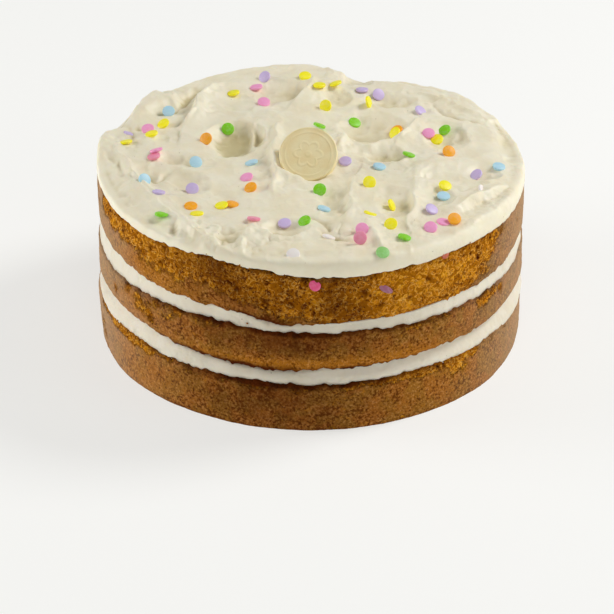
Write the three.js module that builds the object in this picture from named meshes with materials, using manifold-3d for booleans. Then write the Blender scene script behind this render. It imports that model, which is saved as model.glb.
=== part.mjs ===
// Confetti cake: three round sponge layers with two cream fillings between them, a thick
// swirled icing on top, and a small chocolate disc pressed into the icing at a slant.
// Millimetres, +Z up. The origin is the centre of the flat base.

import * as THREE from 'three';
import { mergeVertices } from 'three/addons/utils/BufferGeometryUtils.js';
import Module from 'manifold-3d';

// Driving dimensions
const CAKE_RADIUS = 100;
const BOTTOM_SPONGE_TOP = 24;
const LOWER_FILLING_TOP = 31;
const MIDDLE_SPONGE_TOP = 51;
const UPPER_FILLING_TOP = 56;
const TOP_SPONGE_TOP = 80.6;
const ICING_LEVEL = 88.6;
const THINNEST_ICING = 1.6; // left over the sponge under the deepest scoop
const LAYER_GAP = 0.3;

const DISC_RADIUS = 13.7;
const DISC_THICKNESS = 3.6;
const DISC_RIM_WIDTH = 1.3;
const DISC_RIM_RISE = 0.5;
const DISC_EDGE_ROUND = 0.5;
const DISC_CENTRE = new THREE.Vector3(-1.2, -12, 94.9);
const DISC_TILT = THREE.MathUtils.degToRad(40);
const DISC_TURN = THREE.MathUtils.degToRad(-8);
const DISC_CLEARANCE = 0.3;

const LAYER_SEGMENTS = 60;
const ICING_SEGMENTS = 90;
const ICING_RINGS = 21;
const DISC_SEGMENTS = 36;

// Colours, as the baked and whipped surfaces look in daylight
const SPONGE_COLOUR = 0xa0702f;
const FILLING_COLOUR = 0xe9e2d0;
const ICING_COLOUR = 0xe6dec4;
const CHOCOLATE_COLOUR = 0xdccb9a;

/** The height of the seam between two layers: level, leaning down towards +X, rippled near the edge. */
function seam(level, lean, ripple, lobes, turn) {
  return (x, y) => {
    const reach = Math.min(1, Math.hypot(x, y) / CAKE_RADIUS);
    const wave = ripple * reach ** 2 * Math.sin(lobes * Math.atan2(y, x) + turn);
    return level - lean * x / CAKE_RADIUS + wave;
  };
}

/** A layer's radius at an angle. The lobes are even, so that opposite sides stand out alike. */
function outline(radius, swell, lobes, turn) {
  return (angle) => radius + swell * Math.sin(lobes * angle + turn);
}

function raised(height, by) {
  return (x, y) => height(x, y) + by;
}

/**
 * A closed round layer between two height functions. The profile runs from the middle of the
 * underside, round the side, to the middle of the top. Each of its stations has its reach
 * (a share of the radius), its rise (a share of the thickness) and its inset in millimetres.
 */
function roundLayer(floor, ceiling, radiusAt, profile, segments) {
  const positions = [0, 0, floor(0, 0)];
  for (const { reach, rise, inset } of profile) {
    for (let i = 0; i < segments; i++) {
      const angle = 2 * Math.PI * i / segments;
      const r = reach * radiusAt(angle) - inset;
      const x = r * Math.cos(angle);
      const y = r * Math.sin(angle);
      positions.push(x, y, THREE.MathUtils.lerp(floor(x, y), ceiling(x, y), rise));
    }
  }
  positions.push(0, 0, ceiling(0, 0));

  const index = [];
  const last = 1 + segments * profile.length;
  for (let i = 0; i < segments; i++) {
    const next = (i + 1) % segments;
    index.push(0, 1 + next, 1 + i);
    for (let ring = 1; ring < profile.length; ring++) {
      const below = 1 + segments * (ring - 1);
      const above = below + segments;
      index.push(below + i, below + next, above + next);
      index.push(below + i, above + next, above + i);
    }
    index.push(last - segments + i, last - segments + next, last);
  }
  const geometry = new THREE.BufferGeometry();
  geometry.setAttribute('position', new THREE.Float32BufferAttribute(positions, 3));
  geometry.setIndex(index);
  return geometry;
}

/** The side of a baked layer: its lower edge drawn in by an undercut, its upper edge rounded. */
function spongeProfile(undercut) {
  return [
    { reach: 0.55, rise: 0, inset: 0 },
    { reach: 1, rise: 0, inset: undercut },
    { reach: 1, rise: 0.12, inset: undercut * 0.35 },
    { reach: 1, rise: 0.35, inset: 0 },
    { reach: 1, rise: 0.9, inset: 0 },
    { reach: 1, rise: 1, inset: 0.9 },
    { reach: 0.55, rise: 1, inset: 0 },
  ];
}

/** The side of a cream filling: it bulges a little between the sponges. */
function fillingProfile(bulge) {
  return [
    { reach: 0.55, rise: 0, inset: 0 },
    { reach: 1, rise: 0, inset: bulge },
    { reach: 1, rise: 0.3, inset: 0 },
    { reach: 1, rise: 0.75, inset: 0 },
    { reach: 1, rise: 1, inset: bulge },
    { reach: 0.55, rise: 1, inset: 0 },
  ];
}

/**
 * One stroke of the spatula: a crest (or with a negative rise, a trough) along a bent path from
 * one point through a second to a third, falling away over one width to the left of the path
 * and over another to its right.
 */
function stroke(from, through, to, rise, left, right) {
  const steps = 10;
  const middle = [0, 1].map((k) => 2 * through[k] - (from[k] + to[k]) / 2);
  const path = [];
  for (let i = 0; i <= steps; i++) {
    const t = i / steps;
    path.push([0, 1].map((k) => (1 - t) ** 2 * from[k] + 2 * t * (1 - t) * middle[k] + t ** 2 * to[k]));
  }
  return (x, y) => {
    let nearest = Infinity;
    let side = 1;
    for (let i = 0; i < steps; i++) {
      const [ax, ay] = path[i];
      const dx = path[i + 1][0] - ax;
      const dy = path[i + 1][1] - ay;
      const along = ((x - ax) * dx + (y - ay) * dy) / (dx * dx + dy * dy);
      const t = THREE.MathUtils.clamp(along, 0, 1);
      const away = Math.hypot(x - ax - t * dx, y - ay - t * dy);
      if (away < nearest) {
        nearest = away;
        side = Math.sign(dx * (y - ay) - dy * (x - ax)) || 1;
      }
    }
    const width = side > 0 ? left : right;
    return rise * Math.exp(-((nearest / width) ** 2));
  };
}

// The swirls of the icing from its rim to its front, then the scoops taken out of it
const SWIRLS = [
  stroke([15, 103], [23, 102], [33, 98], -9.5, 8, 9),
  stroke([15, 85], [23, 85], [31, 83], -4.5, 7, 7),
  stroke([34, 94], [46, 87], [59, 77], -3.4, 8, 6),
  stroke([82, 58], [85, 54], [88, 50], -2.4, 5, 5),
  stroke([-88, 39], [-79, 54], [-71, 63], 4.6, 6, 6),
  stroke([88, 42], [94, 26], [96, -4], -3.4, 6, 6),
  stroke([-97, 34], [-93, 41], [-88, 50], -4.0, 5, 5),
  stroke([-100, 22], [-98, 10], [-96, -6], 3.4, 6, 5),
  stroke([3, 76], [-2, 64], [-10, 50], 2.7, 9, 5),
  stroke([-45, 71], [-53, 53], [-61, 25], 5.1, 7, 5),
  stroke([-53, 76], [-60, 62], [-66, 48], -2.6, 5, 5),
  stroke([50, 35], [46, 24], [41, 12], 2.7, 7, 5),
  stroke([15, 9], [27, 5], [38, 13], 2.1, 5, 5),
  stroke([8, 15], [14, 12], [14, 2], 3.8, 5, 5),
  stroke([-15, 31], [-17, 5], [-17, -37], 3.4, 5, 5),
  stroke([-80, 25], [-77, 11], [-78, -1], 2.1, 6, 5),
  stroke([-92, 6], [-80, -34], [-44, -88], 2.9, 5, 5),
  stroke([-98, 8], [-88, -18], [-66, -50], -2.2, 5, 5),
  stroke([-27, -67], [-30, -79], [-32, -93], 2.1, 5, 5),
  stroke([21, -24], [18, -46], [15, -70], 2.7, 8, 5),
  stroke([24, -65], [28, -75], [34, -91], 2.4, 5, 5),
  stroke([68, -10], [54, -16], [49, -26], 3.6, 6, 7),
  stroke([48, -25], [47, -45], [44, -69], 2.6, 7, 5),
  stroke([62, -58], [76, -44], [91, -29], 2.7, 5, 5),
  stroke([-23, 68], [-16, 68], [-9, 68], -3.1, 10, 10),
  stroke([-35, 9], [-36, 17], [-37, 25], -5.1, 10, 10),
  stroke([28, 19], [28, 28], [28, 37], -4.6, 13, 13),
  stroke([30, -1], [35, -1], [40, -1], -2.9, 6, 6),
  stroke([-17, -71], [-12, -71], [-7, -71], -3.1, 7, 7),
  stroke([32, 60], [38, 58], [44, 56], -3.1, 7, 7),
];

// The dollop that the disc leans on
const DOLLOP = stroke([-9, 0], [1, 2], [10, -1], 9.5, 9, 13);

const discNormal = new THREE.Vector3(0, 0, 1)
  .applyEuler(new THREE.Euler(DISC_TILT, 0, DISC_TURN, 'ZYX'));

/** The icing's top, pressed down by the disc wherever the disc covers it. */
function icingHeight(x, y) {
  const swirled = SWIRLS.reduce((height, swirl) => height + swirl(x, y), ICING_LEVEL + DOLLOP(x, y));
  const free = Math.max(swirled, seams.topSponge(x, y) + THINNEST_ICING);
  const offX = x - DISC_CENTRE.x;
  const offY = y - DISC_CENTRE.y;
  const pressed = DISC_CENTRE.z - (discNormal.x * offX + discNormal.y * offY) / discNormal.z;
  const onDisc = new THREE.Vector3(offX, offY, pressed - DISC_CENTRE.z).length();
  const grip = 1 - THREE.MathUtils.smoothstep(onDisc, DISC_RADIUS, DISC_RADIUS + 5);
  return THREE.MathUtils.lerp(free, Math.min(free, pressed), grip);
}

/** The icing's rolled side, then rings towards the middle of its top. */
function icingProfile() {
  const profile = [
    { reach: 0.5, rise: 0, inset: 0 },
    { reach: 1, rise: 0, inset: 1.2 },
    { reach: 1, rise: 0.2, inset: 0.2 },
    { reach: 1, rise: 0.55, inset: 0 },
    { reach: 1, rise: 0.82, inset: 1.2 },
    { reach: 1, rise: 0.96, inset: 3.2 },
  ];
  for (let ring = 0; ring < ICING_RINGS; ring++) {
    profile.push({ reach: 0.93 * (1 - ring / ICING_RINGS), rise: 1, inset: 0 });
  }
  return profile;
}

/** A disc lying on the XY plane about the origin, with a raised rim; grow adds clearance all round. */
function discGeometry(grow) {
  const radius = DISC_RADIUS + grow;
  const back = -DISC_THICKNESS / 2 - grow;
  const front = DISC_THICKNESS / 2 + grow;
  const rimFront = front + DISC_RIM_RISE;
  const profile = [
    new THREE.Vector2(0, back),
    new THREE.Vector2(radius - DISC_EDGE_ROUND, back),
    new THREE.Vector2(radius, back + DISC_EDGE_ROUND),
    new THREE.Vector2(radius, rimFront - DISC_EDGE_ROUND),
    new THREE.Vector2(radius - DISC_EDGE_ROUND, rimFront),
    new THREE.Vector2(radius - DISC_RIM_WIDTH, rimFront),
    new THREE.Vector2(radius - DISC_RIM_WIDTH - DISC_RIM_RISE, front),
    new THREE.Vector2(0, front),
  ];
  const geometry = new THREE.LatheGeometry(profile, DISC_SEGMENTS);
  geometry.rotateX(Math.PI / 2);
  return geometry;
}

function placeDisc(object) {
  object.position.copy(DISC_CENTRE);
  object.rotation.set(DISC_TILT, 0, DISC_TURN, 'ZYX');
  object.updateMatrix();
  return object;
}

function finished(name, geometry, color, roughness) {
  const material = new THREE.MeshStandardMaterial({ color, roughness, metalness: 0 });
  const mesh = new THREE.Mesh(geometry, material);
  mesh.name = name;
  return mesh;
}

const wasm = await Module();
wasm.setup();

function toSolid(geometry) {
  const bare = geometry.clone();
  bare.deleteAttribute('normal');
  bare.deleteAttribute('uv');
  const merged = mergeVertices(bare);
  const vertProperties = new Float32Array(merged.attributes.position.array);
  const triVerts = new Uint32Array(merged.index.array);
  return new wasm.Manifold(new wasm.Mesh({ numProp: 3, vertProperties, triVerts }));
}

function toGeometry(solid) {
  const { vertProperties, triVerts } = solid.getMesh();
  const geometry = new THREE.BufferGeometry();
  geometry.setAttribute('position', new THREE.BufferAttribute(vertProperties, 3));
  geometry.setIndex(new THREE.BufferAttribute(triVerts, 1));
  return geometry;
}

const seams = {
  base: () => 0,
  bottomSponge: seam(BOTTOM_SPONGE_TOP, 0.3, 0.6, 5, 0.4),
  lowerFilling: seam(LOWER_FILLING_TOP, -0.2, 0.5, 3, 2.1),
  middleSponge: seam(MIDDLE_SPONGE_TOP, 0.8, 0.6, 4, 1.0),
  upperFilling: seam(UPPER_FILLING_TOP, 0.9, 0.5, 5, 2.6),
  topSponge: seam(TOP_SPONGE_TOP, 1.8, 0.7, 4, 0.2),
};

const SPONGE_ROUGHNESS = 0.9;
const CREAM_ROUGHNESS = 0.55;
const cake = new THREE.Group();

/** Adds a layer that fills the space between two seams, less half the gap at each. */
function addLayer(name, under, over, radiusAt, profile, color, roughness) {
  const floor = under === seams.base ? under : raised(under, LAYER_GAP / 2);
  const geometry = roundLayer(floor, raised(over, -LAYER_GAP / 2), radiusAt, profile, LAYER_SEGMENTS);
  cake.add(finished(name, geometry, color, roughness));
}

addLayer('sponge_bottom', seams.base, seams.bottomSponge,
  outline(CAKE_RADIUS, 0.5, 4, 0.3), spongeProfile(1.2), SPONGE_COLOUR, SPONGE_ROUGHNESS);
addLayer('filling_lower', seams.bottomSponge, seams.lowerFilling,
  outline(CAKE_RADIUS - 1.6, 0.4, 6, 1.1), fillingProfile(0.8), FILLING_COLOUR, CREAM_ROUGHNESS);
addLayer('sponge_middle', seams.lowerFilling, seams.middleSponge,
  outline(CAKE_RADIUS - 0.3, 0.5, 4, 2.0), spongeProfile(3.2), SPONGE_COLOUR, SPONGE_ROUGHNESS);
addLayer('filling_upper', seams.middleSponge, seams.upperFilling,
  outline(CAKE_RADIUS - 1.7, 0.3, 6, 0.2), fillingProfile(0.6), FILLING_COLOUR, CREAM_ROUGHNESS);
addLayer('sponge_top', seams.upperFilling, seams.topSponge,
  outline(CAKE_RADIUS, 0.4, 4, 1.2), spongeProfile(2.0), SPONGE_COLOUR, SPONGE_ROUGHNESS);

const icingBody = toSolid(roundLayer(raised(seams.topSponge, LAYER_GAP / 2), icingHeight,
  outline(CAKE_RADIUS, 0.4, 6, 0.5), icingProfile(), ICING_SEGMENTS));
const pocket = new THREE.Mesh(discGeometry(DISC_CLEARANCE));
placeDisc(pocket);
pocket.geometry.applyMatrix4(pocket.matrix);
const icing = toGeometry(icingBody.subtract(toSolid(pocket.geometry)));
cake.add(finished('icing_top', icing, ICING_COLOUR, CREAM_ROUGHNESS));

const disc = finished('chocolate_disc', discGeometry(0), CHOCOLATE_COLOUR, 0.45);
cake.add(placeDisc(disc));

export default cake;
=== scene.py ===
"""Confetti cake: the baked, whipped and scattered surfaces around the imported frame.

Three sponge layers, two cream fillings, a swirled icing top, a moulded chocolate disc,
confetti on the icing and baked into the sponge, and a few crumbs.
"""
import itertools
import math

import bpy
import numpy as np
from bpy.props import FloatProperty, FloatVectorProperty, IntProperty, PointerProperty
from mathutils import Matrix, Vector


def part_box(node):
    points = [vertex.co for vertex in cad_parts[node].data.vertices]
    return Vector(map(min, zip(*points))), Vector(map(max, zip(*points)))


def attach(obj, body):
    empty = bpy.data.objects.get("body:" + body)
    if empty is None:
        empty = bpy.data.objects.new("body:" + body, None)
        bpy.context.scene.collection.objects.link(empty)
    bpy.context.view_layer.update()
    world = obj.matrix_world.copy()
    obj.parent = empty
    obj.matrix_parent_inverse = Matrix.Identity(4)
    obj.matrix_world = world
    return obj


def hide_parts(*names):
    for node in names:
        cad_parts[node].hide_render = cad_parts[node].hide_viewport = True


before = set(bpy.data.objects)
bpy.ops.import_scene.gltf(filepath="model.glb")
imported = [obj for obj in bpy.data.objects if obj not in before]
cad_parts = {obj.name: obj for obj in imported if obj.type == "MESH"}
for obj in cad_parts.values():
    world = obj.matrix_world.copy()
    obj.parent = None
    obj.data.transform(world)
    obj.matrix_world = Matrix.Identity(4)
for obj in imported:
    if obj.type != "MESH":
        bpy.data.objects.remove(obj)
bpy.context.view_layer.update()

bl_info = {
    "name": "Confetti Cake",
    "version": (1, 0, 0),
    "blender": (4, 5, 0),
    "location": "View3D > Sidebar > Cake",
    "description": "Builds a layered confetti cake with swirled icing",
    "category": "Add Mesh",
}

MM = 0.001


# ---------------------------------------------------------------- sizes from the frame

def half_width(node):
    """Half of a node's width: the radius of a round layer."""
    low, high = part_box(node)
    return (high.x - low.x) / 2


def seam_level(below, above):
    """The mean height of the seam between two layers."""
    return (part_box(below)[1].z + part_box(above)[0].z) / 2


RADIUS = half_width("sponge_top") - 0.4 * MM
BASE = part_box("sponge_bottom")[0].z
SEAM_LEVELS = {
    "bottom_sponge": seam_level("sponge_bottom", "filling_lower"),
    "lower_filling": seam_level("filling_lower", "sponge_middle"),
    "middle_sponge": seam_level("sponge_middle", "filling_upper"),
    "upper_filling": seam_level("filling_upper", "sponge_top"),
    "top_sponge": seam_level("sponge_top", "icing_top"),
}
ICING_LEVEL = SEAM_LEVELS["top_sponge"] + 7.9 * MM
DISC_LOW, DISC_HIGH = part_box("chocolate_disc")
DISC_CENTRE = (DISC_LOW + DISC_HIGH) / 2
DISC_TILT = math.radians(40)
DISC_TURN = math.radians(-8)
DISC_RADIUS = 13.7 * MM
DISC_THICKNESS = 3.6 * MM
DISC_TURNED = Matrix.Rotation(DISC_TURN, 3, "Z") @ Matrix.Rotation(DISC_TILT, 3, "X")
DISC_NORMAL = DISC_TURNED @ Vector((0, 0, 1))

# How far each seam rises or falls round the cake: (degrees from +X, millimetres).
SEAM_WAVES = {
    "bottom_sponge": ((-163, 0.3), (-135, 0.4), (-119, -0.4), (-105, 0.7), (-90, -0.8), (-70, 0.3),
                      (-47, -0.5), (-23, -1.6), (20, 0.4), (70, -0.6), (110, 0.5), (150, -0.2)),
    "lower_filling": ((-163, 0.9), (-137, 1.5), (-120, -0.2), (-90, 0.1), (-76, -1.1), (-62, 0.2),
                      (-30, -0.3), (15, 0.6), (60, -0.4), (100, 0.5), (145, -0.3)),
    "middle_sponge": ((-162, -1.8), (-135, -0.1), (-119, 1.0), (-105, 0.0), (-90, -0.8), (-77, -0.4),
                      (-63, -2.0), (-47, -2.0), (-23, -2.6), (25, 0.3), (80, -0.7), (130, 0.6)),
    "upper_filling": ((-162, 3.0), (-148, 3.6), (-136, 2.0), (-119, 2.3), (-105, 1.0), (-90, -2.2),
                      (-76, -1.6), (-57, -1.8), (-47, -0.8), (-22, -1.2), (30, 0.2), (75, -0.6),
                      (120, 0.8)),
    "top_sponge": ((-157, 2.6), (-134, 2.2), (-120, 4.2), (-105, 1.6), (-91, -1.7), (-77, -1.8),
                   (-64, -0.9), (-49, -0.5), (-27, -1.6), (20, -0.8), (58, 0.0), (77, -3.6), (96, 0.6),
                   (120, 1.2)),
}


def seam(name, angle, reach):
    """A seam's height over the plane of the base, easing to its level towards the middle."""
    degrees = np.degrees(angle)
    places, rises = zip(*SEAM_WAVES[name])
    easing = [np.interp(degrees + step, places, rises, period=360) for step in (-6, -3, 0, 3, 6)]
    return SEAM_LEVELS[name] + np.mean(easing, axis=0) * MM * np.clip(reach, 0, 1) ** 2


# ---------------------------------------------------------------- seeded patterns in space

LATTICE_SIDE = 48
LATTICE = np.random.default_rng(11).random((LATTICE_SIDE,) * 3) * 2 - 1
SPOTS = np.random.default_rng(23).random((LATTICE_SIDE,) * 3 + (5,))


def noise(points, size, shift=0.0):
    """Smooth noise from -1 to 1 with lumps of about that size; shift picks another stretch of it."""
    place = points / size + shift
    cell = np.floor(place).astype(int)
    part = place - cell
    part = part * part * (3 - 2 * part)
    total = 0
    for corner in itertools.product((0, 1), repeat=3):
        weight = np.prod(np.where(corner, part, 1 - part), axis=1)
        i, j, k = ((cell + corner) % LATTICE_SIDE).T
        total = total + weight * LATTICE[i, j, k]
    return total


def layered_noise(points, size, shift=0.0, octaves=3):
    """Noise with finer and fainter lumps on top."""
    return sum(noise(points, size / 2 ** n, shift + 7.3 * n) / 2 ** n for n in range(octaves)) / 1.6


def pits(points, size, share, shift=0.0):
    """The depth, from 0 to 1, of round pits: one to a cell of that size, in a share of the cells."""
    place = points / size + shift
    cell = np.floor(place).astype(int)
    depth = np.zeros(len(points))
    for step in itertools.product((-1, 0, 1), repeat=3):
        near = cell + step
        i, j, k = (near % LATTICE_SIDE).T
        spot = SPOTS[i, j, k]
        away = np.linalg.norm(place - near - spot[:, :3], axis=1)
        width = 0.22 + 0.33 * spot[:, 3]
        here = np.clip(1 - (away / width) ** 2, 0, 1) * (spot[:, 4] < share)
        depth = np.maximum(depth, here)
    return depth


def softened(field, steps):
    """A square field of heights, blurred over that many cells."""
    for axis in (0, 1):
        for _ in range(3):
            padded = np.pad(field, [(steps, steps) if n == axis else (0, 0) for n in (0, 1)], mode="edge")
            total = np.cumsum(np.insert(padded, 0, 0, axis=axis), axis=axis)
            reach = 2 * steps + 1
            field = (np.take(total, range(reach, total.shape[axis]), axis=axis)
                     - np.take(total, range(total.shape[axis] - reach), axis=axis)) / reach
    return field


def eased(value, low, high):
    """0 under low, 1 over high, and smooth between."""
    share = np.clip((value - low) / (high - low), 0, 1)
    return share * share * (3 - 2 * share)


# ---------------------------------------------------------------- modelling helpers

def take(*objects):
    """Selects these objects only, the first of them active."""
    bpy.ops.object.select_all(action="DESELECT")
    for obj in objects:
        obj.select_set(True)
    bpy.context.view_layer.objects.active = objects[0]


def named(obj, name):
    obj.name = name
    obj.data.name = name
    return obj


def points_of(obj):
    co = np.empty(len(obj.data.vertices) * 3)
    obj.data.vertices.foreach_get("co", co)
    return co.reshape(-1, 3)


def move_points(obj, co):
    obj.data.vertices.foreach_set("co", co.astype(np.float32).ravel())
    obj.data.update()


def paint(obj, name, values):
    """Keeps a value for each point, which the piece's material reads."""
    layer = obj.data.attributes.new(name, "FLOAT", "POINT")
    layer.data.foreach_set("value", np.clip(values, 0, 1).astype(np.float32))


def turned(name, stations, segments):
    """A closed round body: a filled circle whose edge is extruded through (radius, height) stations."""
    bpy.ops.object.select_all(action="DESELECT")
    radius, height = stations[0]
    bpy.ops.mesh.primitive_circle_add(vertices=segments, radius=radius, fill_type="TRIFAN",
                                      location=(0, 0, height))
    obj = named(bpy.context.active_object, name)
    bpy.ops.object.transform_apply(location=True)
    bpy.ops.object.mode_set(mode="EDIT")
    bpy.ops.mesh.select_all(action="SELECT")
    bpy.ops.mesh.region_to_loop()
    for (r0, z0), (r1, z1) in zip(stations, stations[1:]):
        bpy.ops.mesh.extrude_edges_move(TRANSFORM_OT_translate={"value": (0, 0, z1 - z0)})
        bpy.ops.transform.resize(value=(r1 / r0, r1 / r0, 1), center_override=(0, 0, z1))
    bpy.ops.mesh.merge(type="CENTER")
    bpy.ops.mesh.select_all(action="SELECT")
    bpy.ops.mesh.normals_make_consistent(inside=False)
    bpy.ops.object.mode_set(mode="OBJECT")
    return obj


def smooth(obj):
    take(obj)
    bpy.ops.object.shade_smooth()


def finish_piece(obj, material, slot, *replaced):
    """Gives the piece its material and its body, and hides the nodes that it stands for; the slot is not
    used.
    """
    obj.data.materials.clear()
    obj.data.materials.append(material)
    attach(obj, "root")
    if replaced:
        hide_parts(*replaced)


def joined(name, objects):
    """Several small meshes as one piece."""
    take(*objects)
    if len(objects) > 1:
        bpy.ops.object.join()
    return named(bpy.context.active_object, name)


# ---------------------------------------------------------------- colours

def daylight(red, green, blue):
    """A colour as a screen shows it, from 0 to 255, in the light-linear values that shaders use."""
    def linear(value):
        value /= 255
        return value / 12.92 if value <= 0.04045 else ((value + 0.055) / 1.055) ** 2.4
    return tuple(linear(value) for value in (red, green, blue))


def colour_property(name, about, shade):
    return FloatVectorProperty(name=name, description=about, subtype="COLOR", size=3, min=0, max=1,
                               default=daylight(*shade))


def length_property(name, about, millimetres):
    return FloatProperty(name=name, description=about, default=millimetres * MM, min=0,
                         unit="LENGTH", subtype="DISTANCE")


class CakeSizes(bpy.types.PropertyGroup):
    """Sizes of the parts that are scattered or carved."""
    confetti_width: length_property("Confetti width", "Across one round piece of confetti", 6.1)
    confetti_thickness: length_property("Confetti thickness", "Through one piece of confetti", 1.2)
    pit_depth: length_property("Pit depth", "Depth of the larger holes in the sponge", 1.0)
    crumb_width: length_property("Crumb width", "Across an average loose crumb", 0.9)
    crumb_count: IntProperty(name="Crumbs", description="How many loose crumbs lie about", default=130,
                             min=0)


class CakeColours(bpy.types.PropertyGroup):
    """Colours of the cake's surfaces in plain daylight."""
    icing: colour_property("Icing", "Swirled icing", (252, 243, 218))
    cream: colour_property("Cream", "Cream fillings", (238, 230, 210))
    gold: colour_property("Golden crumb", "Open sponge crumb", (222, 138, 8))
    brown: colour_property("Brown skin", "Browned skin of the sponge", (162, 106, 42))
    # The dark colour is also painted on as shade: over the sponge's front, along its seams and in its holes.
    dark: colour_property("Dark bake", "Darkest baked places and holes", (80, 32, 0))
    chocolate: colour_property("White chocolate", "Moulded disc", (253, 236, 188))
    yellow: colour_property("Yellow confetti", "Confetti", (255, 244, 12))
    orange: colour_property("Orange confetti", "Confetti", (255, 172, 8))
    pink: colour_property("Pink confetti", "Confetti", (246, 160, 204))
    rose: colour_property("Rose confetti", "Confetti", (240, 146, 172))
    lilac: colour_property("Lilac confetti", "Confetti", (206, 186, 228))
    blue: colour_property("Blue confetti", "Confetti", (180, 220, 236))
    green: colour_property("Green confetti", "Confetti", (132, 214, 10))
    leaf: colour_property("Pale green confetti", "Confetti", (142, 204, 112))
    white: colour_property("White confetti", "Confetti", (246, 238, 232))


class StageLights(bpy.types.PropertyGroup):
    """Soft studio lights."""
    key: FloatProperty(name="Key", description="High softbox on the right, in watts", default=15, min=0)
    right: FloatProperty(name="Right", description="Low softbox on the right, in watts", default=2.8, min=0)
    left: FloatProperty(name="Left", description="Low softbox on the left, in watts", default=11, min=0)
    front: FloatProperty(name="Front", description="Softbox over the front, in watts", default=3.2, min=0)
    room: FloatProperty(name="Room", description="Strength of the pale room light", default=0.2, min=0)
    floor: colour_property("Floor", "Plain pale floor", (165, 165, 163))


# ---------------------------------------------------------------- shader helpers

def add_node(tree, kind, inputs=None, **settings):
    """A shader node with its settings, and with its inputs set or linked."""
    made = tree.nodes.new(kind)
    for key, value in settings.items():
        setattr(made, key, value)
    for key, value in (inputs or {}).items():
        if isinstance(value, bpy.types.NodeSocket):
            tree.links.new(value, made.inputs[key])
        else:
            made.inputs[key].default_value = value
    return made


def mix_colours(tree, factor, first, second, how="MIX"):
    """The colour output of a Mix node between two colours."""
    made = tree.nodes.new("ShaderNodeMix")
    made.data_type = "RGBA"
    made.blend_type = how
    for place, value in ((0, factor), (6, first), (7, second)):
        if isinstance(value, bpy.types.NodeSocket):
            tree.links.new(value, made.inputs[place])
        elif place:
            made.inputs[place].default_value = (*value[:3], 1)
        else:
            made.inputs[place].default_value = value
    return made.outputs[2]


def maths(tree, operation, first, second=0.0, clamp=False):
    made = add_node(tree, "ShaderNodeMath", {0: first, 1: second}, operation=operation, use_clamp=clamp)
    return made.outputs[0]


def maths_vector(tree, operation, first, second):
    made = add_node(tree, "ShaderNodeVectorMath", {0: first, 1: second}, operation=operation)
    return made.outputs[0]


def in_range(tree, value, low, high, to_low=0.0, to_high=1.0):
    """A value brought smoothly from one range to another, and kept within it."""
    made = add_node(tree, "ShaderNodeMapRange",
                    {"Value": value, "From Min": low, "From Max": high, "To Min": to_low, "To Max": to_high},
                    interpolation_type="SMOOTHSTEP")
    return made.outputs["Result"]


def grain(tree, place, size, detail=2.0, roughness=0.5, distortion=0.0):
    """Noise from 0 to 1 with lumps of that size, drawn out into strands by the distortion."""
    made = add_node(tree, "ShaderNodeTexNoise",
                    {"Vector": place, "Scale": 1 / size, "Detail": detail, "Roughness": roughness,
                     "Distortion": distortion})
    return made.outputs["Fac"]


def new_group(name, inputs, outputs):
    """An empty shader group with named sockets: its tree, its input node and its output node."""
    tree = bpy.data.node_groups.new(name, "ShaderNodeTree")
    kinds = {"value": "NodeSocketFloat", "colour": "NodeSocketColor", "vector": "NodeSocketVector"}
    for socket, kind in inputs.items():
        tree.interface.new_socket(name=socket, in_out="INPUT", socket_type=kinds[kind])
    for socket, kind in outputs.items():
        tree.interface.new_socket(name=socket, in_out="OUTPUT", socket_type=kinds[kind])
    return tree, tree.nodes.new("NodeGroupInput"), tree.nodes.new("NodeGroupOutput")


def place_group(tree, group, inputs):
    made = add_node(tree, "ShaderNodeGroup", node_tree=group)
    for key, value in inputs.items():
        if isinstance(value, bpy.types.NodeSocket):
            tree.links.new(value, made.inputs[key])
        else:
            made.inputs[key].default_value = value
    return made


def cream_group():
    """Whipped surfaces: soft cloudy shading, faint smears, specks, painted shade in hollows, and a fine
    uneven height.
    """
    name = "cake_whipped_surface"
    if name in bpy.data.node_groups:
        return bpy.data.node_groups[name]
    tree, given, out = new_group(name, {"Place": "vector", "Colour": "colour", "Shade": "colour",
                                        "Speck": "colour", "Speck share": "value", "Hollow": "value"},
                                 {"Colour": "colour", "Roughness": "value", "Height": "value"})
    place = given.outputs["Place"]
    clouds = grain(tree, place, 14 * MM, 3)
    curds = grain(tree, place, 2.2 * MM, 3, 0.6)
    fine = grain(tree, place, 0.5 * MM, 2)
    specks = add_node(tree, "ShaderNodeTexVoronoi", {"Vector": place, "Scale": 1 / (2.6 * MM)})
    speck_pick = add_node(tree, "ShaderNodeSeparateColor", {"Color": specks.outputs["Color"]})
    chosen = maths(tree, "LESS_THAN", speck_pick.outputs[0], given.outputs["Speck share"])
    spot = in_range(tree, specks.outputs["Distance"], 0.16, 0.08)
    speck_mask = maths(tree, "MULTIPLY", chosen, spot)
    shade_mask = in_range(tree, clouds, 0.35, 0.75)
    curd_mask = in_range(tree, curds, 0.45, 0.8, 0.0, 0.35)
    shaded = mix_colours(tree, shade_mask, given.outputs["Colour"], given.outputs["Shade"])
    shaded = mix_colours(tree, curd_mask, shaded, given.outputs["Shade"])
    # painted shade in the hollows: the shade colour made darker and yellower
    deep = mix_colours(tree, 1.0, given.outputs["Shade"], (0.72, 0.69, 0.54), "MULTIPLY")
    shaded = mix_colours(tree, given.outputs["Hollow"], shaded, deep)
    coloured = mix_colours(tree, maths(tree, "MULTIPLY", speck_mask, 0.55), shaded, given.outputs["Speck"])
    rough = in_range(tree, curds, 0.2, 0.8, 0.34, 0.54)
    height = maths(tree, "ADD", maths(tree, "MULTIPLY", curds, 0.8), maths(tree, "MULTIPLY", fine, 0.25))
    tree.links.new(coloured, out.inputs["Colour"])
    tree.links.new(rough, out.inputs["Roughness"])
    tree.links.new(height, out.inputs["Height"])
    return tree


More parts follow.
